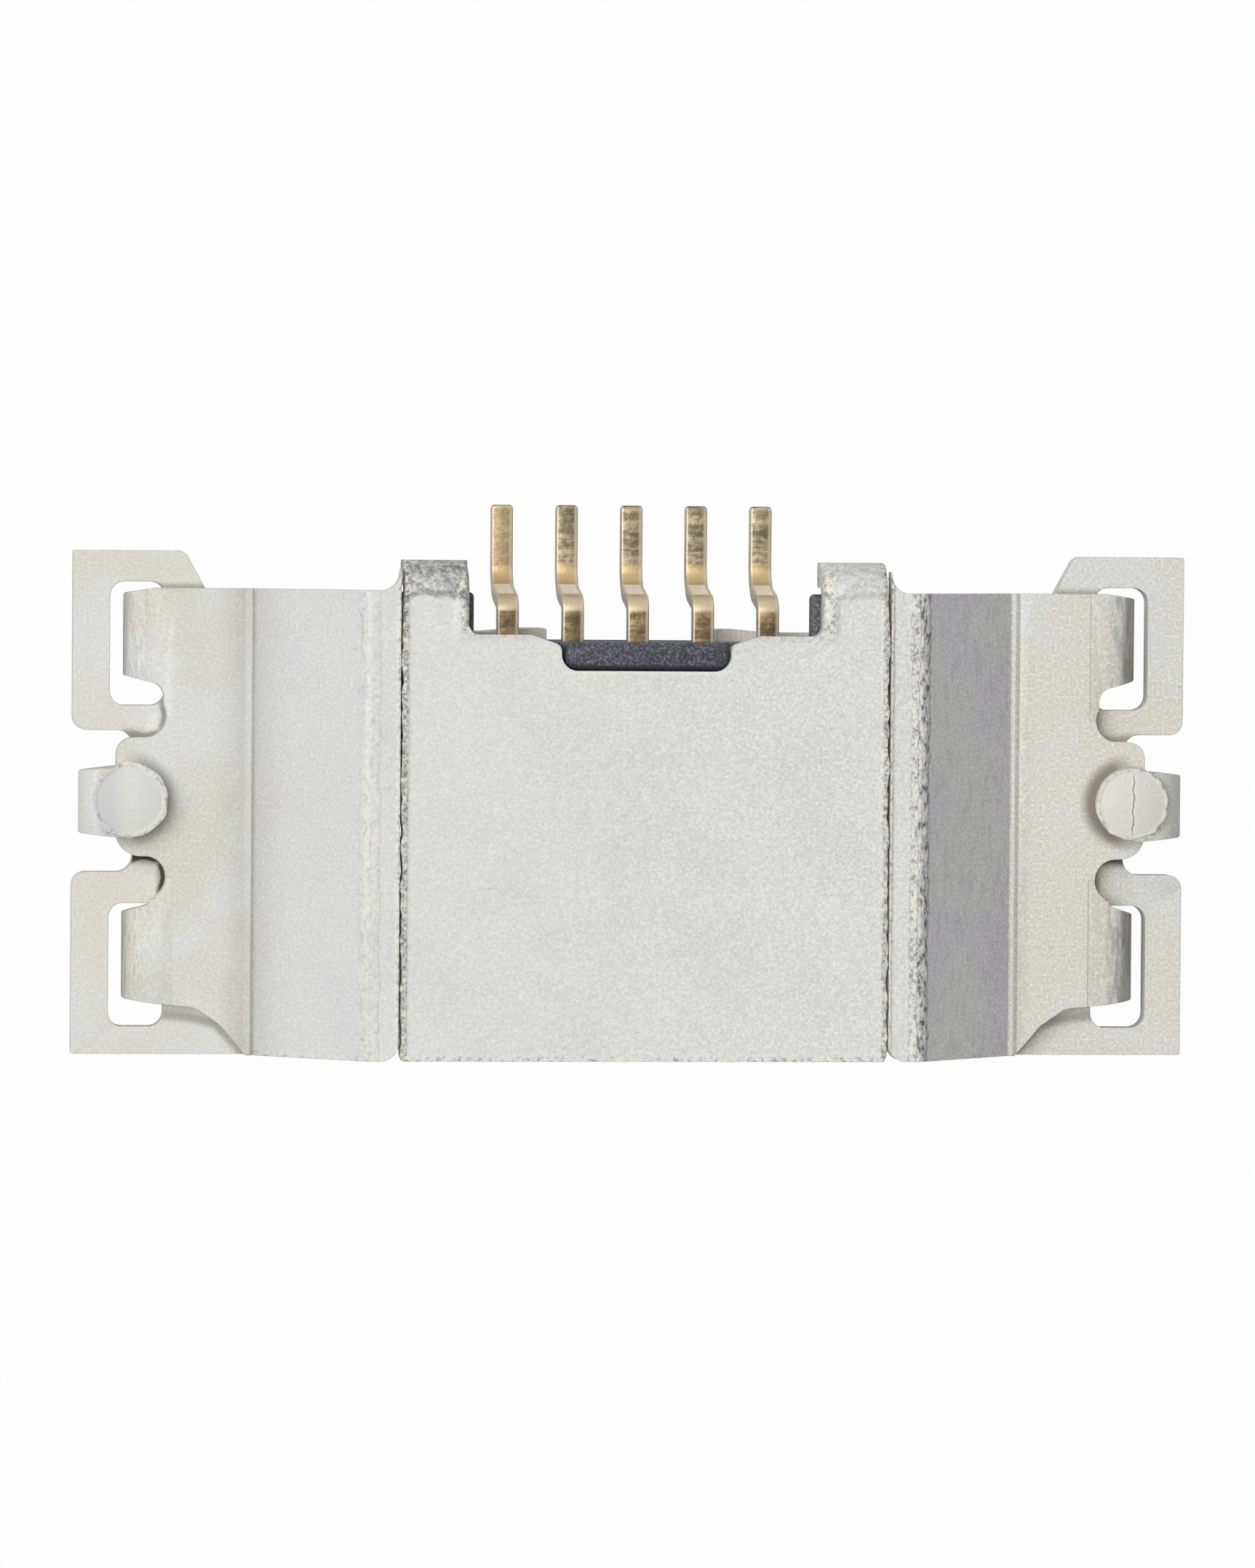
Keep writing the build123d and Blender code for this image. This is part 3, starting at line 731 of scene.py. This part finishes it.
colour, ear_specks = crazed(
    tree, place, colour, worn_ears, light=0.45, dark=0.50, bright=PLATED_BRIGHT
)
inner_rim = product(
    tree,
    ramp(tree, across, INNER_RIM_X, INNER_RIM_FULL_X),
    ramp(tree, y, INNER_RIM_Y, INNER_RIM_FULL_Y),
    ramp(tree, z, PLATE_TOP - INNER_RIM_LOW, PLATE_TOP - INNER_RIM_FULL_LOW),
)
colour, rim_specks = crazed(tree, place, colour, inner_rim, light=0.9, dark=0.5)

# the bright front rim of the notch
key_rim = product(
    tree,
    band(tree, y, NOTCH_RIM_Y, half_width=0.008, soft=0.016),
    ramp(tree, across, NOTCH_RIM_X, NOTCH_RIM_FULL_X),
)
colour = tinted(tree, colour, key_rim, CREAM, strength=0.6)

set_plating(tree, shader, colour)
rough = largest(tree, specks, ear_specks, rim_specks, seam_specks)
peel = product(tree, grain(tree, place, PEEL_SCALE), largest(tree, ear, inner_rim))
relief(
    tree,
    shader,
    (fine, GRAIN_DEPTH),
    (rough, PLATE_CRAZE_DEPTH),
    (peel, PLATE_PEEL_DEPTH),
)
plate = softened(
    "centre_plate", PUNCHED_EDGE, rolled=ear_edge, roll=ROLLED_EDGE, shape=uneven_seams
)
paint(plate, plate_finish)

# Insulator: one moulding of black glass-filled plastic, with the key block in the plate's
# notch, the arms inside the ears and the tongue in the mouth.
RESIN = (0.026, 0.028, 0.040)
RESIN_LIGHT = (0.185, 0.192, 0.225)
RESIN_ROUGHNESS = 0.42
FLECK_SCALE = 38.0
FLECK_RANGE = (0.42, 0.72)
MOULD_GRAIN_SCALE = 18.0
MOULD_GRAIN_DEPTH = 0.006
MOULDED_EDGE = 0.008 * MM
KEY_FRONT = 3.87
KEY_FRONT_RIM, KEY_FRONT_CLEAR = 0.015, 0.045
KEY_HALF = 0.82
KEY_SIDE_RIM, KEY_SIDE_CLEAR = 0.01, 0.04
KEY_LOW, KEY_HIGH = 1.35, 1.40

resin_finish, tree, shader, place = finish_nodes("insulator_resin_black")
x, y, z = axes_of(tree, place)
spots = grain(tree, place, FLECK_SCALE, detail=3.0, roughness=0.65)
# the key's top keeps its flecks only clear of its front and side rims, so those rims stay dark as
# painted shade of the gap round the key
clear_of_rim_shade = product(
    tree,
    ramp(tree, y, KEY_FRONT + KEY_FRONT_RIM, KEY_FRONT + KEY_FRONT_CLEAR),
    ramp(
        tree,
        math_node(tree, "ABSOLUTE", x),
        KEY_HALF - KEY_SIDE_RIM,
        KEY_HALF - KEY_SIDE_CLEAR,
    ),
)
below_key = ramp(tree, z, KEY_HIGH, KEY_LOW)
fleck = product(tree, ramp(tree, spots, *FLECK_RANGE), largest(tree, clear_of_rim_shade, below_key))
colour = blend_colour(tree, fleck, RESIN, RESIN_LIGHT)
tree.links.new(colour, shader.inputs["Base Color"])
shader.inputs["Roughness"].default_value = RESIN_ROUGHNESS
mould_grain = grain(tree, place, MOULD_GRAIN_SCALE, detail=3.0)
relief(tree, shader, (mould_grain, MOULD_GRAIN_DEPTH))
paint(softened("insulator", MOULDED_EDGE), resin_finish)

# Contacts: five gold-plated strips with S-bent tails, cut from one sheet, so their tails
# show fine marks across. They are held in the moulding.
GOLD = (0.53, 0.39, 0.20)
GOLD_SHOULDER = (0.58, 0.46, 0.30)
GOLD_RIM_REFLECTION = (0.62, 0.54, 0.42)
GOLD_WHITE = (1.0, 0.97, 0.90)
GOLD_TAIL_DARK_REFLECTION = (0.150, 0.122, 0.078)
GOLD_ROOT_DARK_REFLECTION = (0.12, 0.085, 0.045)
GOLD_METALLIC = 0.6
GOLD_ROUGHNESS = 0.42
MARK_SCALE = 11.0
MARK_STRETCH = (0.12, 1, 0.12)
MARK_DEPTH = 0.004
MOTTLE_SCALE = 20.0
MOTTLE_SHARE = 0.6
TAIL_MARK_RANGE = (0.66, 1.05)
ROOT_MARK_RANGE = (0.6, 1.2)
CONTACTS = 5
CONTACT_PITCH = 0.65
CONTACT_EDGE = 0.018 * MM
CONTACT_EDGE_SEGMENTS = 3
FIRST_FROM_X, FIRST_FULL_X = -0.9, -1.1
ROOT_Y, ROOT_FULL_Y = 4.45, 4.41
SHOULDER_Y = 4.54
BRIGHT_Y = 4.63
BRIGHT_MIDDLE_Y = 4.645
TAIL_Y, TAIL_FULL_Y = 4.86, 4.94
RIM_RIGHT, RIM_RIGHT_FULL = 0.060, 0.080
RIM_LEFT, RIM_LEFT_FULL = -0.080, -0.095

gold_finish, tree, shader, place = finish_nodes("contact_gold")
x, y, z = axes_of(tree, place)
marks = grain(tree, place, MARK_SCALE, detail=3.0, roughness=0.6, stretch=MARK_STRETCH)
mottle = grain(tree, place, MOTTLE_SCALE, detail=3.0, roughness=0.6)
streak = math_node(tree, "MULTIPLY_ADD", mottle, MOTTLE_SHARE, marks)

# painted reflections: a pale shoulder, and a tail and root darkened where their flats mirror dark
# surroundings, over fine marks across; the first contact's tail less darkened than the others'
colour = blend_colour(tree, ramp(tree, y, BRIGHT_Y, SHOULDER_Y), GOLD, GOLD_SHOULDER)
marked_dark_reflection = blend_colour(tree, ramp(tree, streak, *TAIL_MARK_RANGE), GOLD_TAIL_DARK_REFLECTION, GOLD_SHOULDER)
first = ramp(tree, x, FIRST_FROM_X, FIRST_FULL_X)
tail_darkening = ramp(tree, first, low=0.0, high=1.0, start=0.95, end=0.40)
tail = product(tree, ramp(tree, y, TAIL_Y, TAIL_FULL_Y), tail_darkening)
colour = tinted(tree, colour, tail, marked_dark_reflection)
shaded = blend_colour(tree, ramp(tree, streak, *ROOT_MARK_RANGE), GOLD_ROOT_DARK_REFLECTION, GOLD)
colour = tinted(tree, colour, ramp(tree, y, ROOT_Y, ROOT_FULL_Y), shaded)
# a painted white glint across the steep part of the S-bend
glint = band(tree, y, BRIGHT_MIDDLE_Y, half_width=0.035, soft=0.02)
colour = tinted(tree, colour, glint, GOLD_WHITE)

# pale rims as painted reflections on the rounded long edges, measured from the middle of each
# contact
place_in_row = math_node(tree, "ROUND", math_node(tree, "DIVIDE", x, CONTACT_PITCH))
middle_x = math_node(tree, "MULTIPLY", place_in_row, CONTACT_PITCH)
beside = math_node(tree, "SUBTRACT", x, middle_x)
rim_reflections = largest(
    tree,
    ramp(tree, beside, RIM_RIGHT, RIM_RIGHT_FULL),
    ramp(tree, beside, RIM_LEFT, RIM_LEFT_FULL),
)
colour = tinted(tree, colour, rim_reflections, GOLD_RIM_REFLECTION, strength=0.8)
tree.links.new(colour, shader.inputs["Base Color"])
shader.inputs["Metallic"].default_value = GOLD_METALLIC
shader.inputs["Roughness"].default_value = GOLD_ROUGHNESS
relief(tree, shader, (marks, MARK_DEPTH), (mottle, MARK_DEPTH))
for number in range(1, CONTACTS + 1):
    paint(softened(f"contact_{number}", CONTACT_EDGE, CONTACT_EDGE_SEGMENTS), gold_finish)

# Studio floor and backdrop: a white floor just under the tray, which the camera sees almost
# white and the part sees greyer, and a pale world around it.
FLOOR_HALF = 1.5
FLOOR_GAP = 0.002 * MM
FLOOR_COLOUR = (0.72, 0.72, 0.72)
FLOOR_ROUGHNESS = 0.9
SHOWN_WHITE = 0.97
WORLD_LEVEL = 0.32
WHITE = (1, 1, 1)

floor_mesh = bmesh.new()
bmesh.ops.create_grid(floor_mesh, x_segments=1, y_segments=1, size=FLOOR_HALF)
bmesh.ops.translate(floor_mesh, verts=floor_mesh.verts, vec=(0, 0, cad_box[0].z - FLOOR_GAP))
floor_data = bpy.data.meshes.new("studio_floor")
floor_mesh.to_mesh(floor_data)
floor_mesh.free()
floor = bpy.data.objects.new("studio_floor", floor_data)
bpy.context.scene.collection.objects.link(floor)

floor_finish = bpy.data.materials.new("floor_white")
floor_finish.use_nodes = True
tree = floor_finish.node_tree
paper = tree.nodes["Principled BSDF"]
paper.inputs["Base Color"].default_value = (*FLOOR_COLOUR, 1)
paper.inputs["Roughness"].default_value = FLOOR_ROUGHNESS
glow = tree.nodes.new("ShaderNodeEmission")
glow.inputs["Color"].default_value = (*WHITE, 1)
rays = tree.nodes.new("ShaderNodeLightPath")
mixed = tree.nodes.new("ShaderNodeMixShader")
seen = math_node(tree, "MULTIPLY", rays.outputs["Is Camera Ray"], SHOWN_WHITE)
tree.links.new(seen, mixed.inputs["Fac"])
tree.links.new(paper.outputs[0], mixed.inputs[1])
tree.links.new(glow.outputs[0], mixed.inputs[2])
tree.links.new(mixed.outputs[0], tree.nodes["Material Output"].inputs["Surface"])
floor_data.materials.append(floor_finish)

world = bpy.data.worlds.new("studio_world")
bpy.context.scene.world = world
world.use_nodes = True
tree = world.node_tree
rays = tree.nodes.new("ShaderNodeLightPath")
seen = largest(
    tree,
    rays.outputs["Is Camera Ray"],
    rays.outputs["Is Transmission Ray"],
    rays.outputs["Is Glossy Ray"],
)
level = math_node(tree, "MULTIPLY_ADD", seen, 1 - WORLD_LEVEL, WORLD_LEVEL)
tree.nodes["Background"].inputs["Color"].default_value = (*WHITE, 1)
tree.links.new(level, tree.nodes["Background"].inputs["Strength"])

# Studio lamps and cards: a large soft lamp behind on the left, a weak one in front on the
# right, a dark card that shades the right slope, and one that the flats mirror.
LAMP_DISTANCE = 0.40
LAMP_SIZE = 0.32
LAMPS = (
    ("softbox_left", 26, 152, 1.35),
    ("softbox_front", 60, -60, 0.05),
)
CARD_COLOUR = (0.05, 0.05, 0.055)
CARD_ROUGHNESS = 1.0
RIGHT_CARD_PLACE = (0.22, 0, 0.03)
RIGHT_CARD_HALF = 0.14
MIRROR_CARD_HALF = 0.036
MIRROR_CARD_BEHIND = 0.02

middle = (cad_box[0] + cad_box[1]) / 2


def aimed(thing, place):
    """Puts a lamp or a card at a place, facing the middle of the part."""
    thing.location = place
    thing.rotation_euler = (middle - Vector(place)).to_track_quat("-Z", "Y").to_euler()
    bpy.context.scene.collection.objects.link(thing)


def dark_card(name, place, half_size):
    """A dark card that casts no shadow."""
    card_mesh = bmesh.new()
    bmesh.ops.create_grid(card_mesh, x_segments=1, y_segments=1, size=half_size)
    card_data = bpy.data.meshes.new(name)
    card_mesh.to_mesh(card_data)
    card_mesh.free()
    card = bpy.data.objects.new(name, card_data)
    aimed(card, place)
    card.visible_camera = False
    card.visible_shadow = False
    finish = bpy.data.materials.new(name)
    finish.use_nodes = True
    paper = finish.node_tree.nodes["Principled BSDF"]
    paper.inputs["Base Color"].default_value = (*CARD_COLOUR, 1)
    paper.inputs["Roughness"].default_value = CARD_ROUGHNESS
    card_data.materials.append(finish)


for name, lean, turn, power in LAMPS:
    lamp = bpy.data.lights.new(name, "AREA")
    lamp.shape = "SQUARE"
    lamp.size = LAMP_SIZE
    lamp.energy = power
    lean, turn = radians(lean), radians(turn)
    way = Vector((sin(lean) * cos(turn), sin(lean) * sin(turn), cos(lean)))
    aimed(bpy.data.objects.new(name, lamp), middle + way * LAMP_DISTANCE)
dark_card("card_right", middle + Vector(RIGHT_CARD_PLACE), RIGHT_CARD_HALF)

# Camera: square onto the narrow side, turned a little towards the left and the tails, with a
# long lens. The target is a point on the side frames' top near the middle of the part.
IMAGE_HEIGHT = 2156
FOCAL_PIXELS = 12850.9
SENSOR = 36
CLIP_NEAR, CLIP_FAR = 0.005, 10
CAMERA_DISTANCE = 93.28 * MM
CAMERA_YAW = radians(6.6695)
CAMERA_PITCH = radians(1.6577)
CAMERA_ROLL = radians(0.4412)
TARGET = Vector((-0.0372, 2.7023, 0.25)) * MM

toward = Vector((
    -sin(CAMERA_YAW),
    sin(CAMERA_PITCH) * cos(CAMERA_YAW),
    cos(CAMERA_YAW) * cos(CAMERA_PITCH),
))
up = (Vector((0, 1, 0)) - toward * toward.y).normalized()
right = up.cross(toward)
rolled_right = right * cos(CAMERA_ROLL) + up * sin(CAMERA_ROLL)
rolled_up = up * cos(CAMERA_ROLL) - right * sin(CAMERA_ROLL)

camera_data = bpy.data.cameras.new("camera")
camera_data.sensor_width = SENSOR
camera_data.lens = SENSOR * FOCAL_PIXELS / IMAGE_HEIGHT
camera_data.clip_start = CLIP_NEAR
camera_data.clip_end = CLIP_FAR
camera = bpy.data.objects.new("camera", camera_data)
turned = Matrix((rolled_right, rolled_up, toward)).transposed().to_4x4()
camera.matrix_world = Matrix.Translation(TARGET + toward * CAMERA_DISTANCE) @ turned
bpy.context.scene.collection.objects.link(camera)
bpy.context.scene.camera = camera
bpy.context.scene.view_settings.view_transform = "Standard"

mirrored = Vector((-toward.x, -toward.y, toward.z))
card_place = TARGET + mirrored * (CAMERA_DISTANCE + MIRROR_CARD_BEHIND)
dark_card("card_mirror", card_place, MIRROR_CARD_HALF)
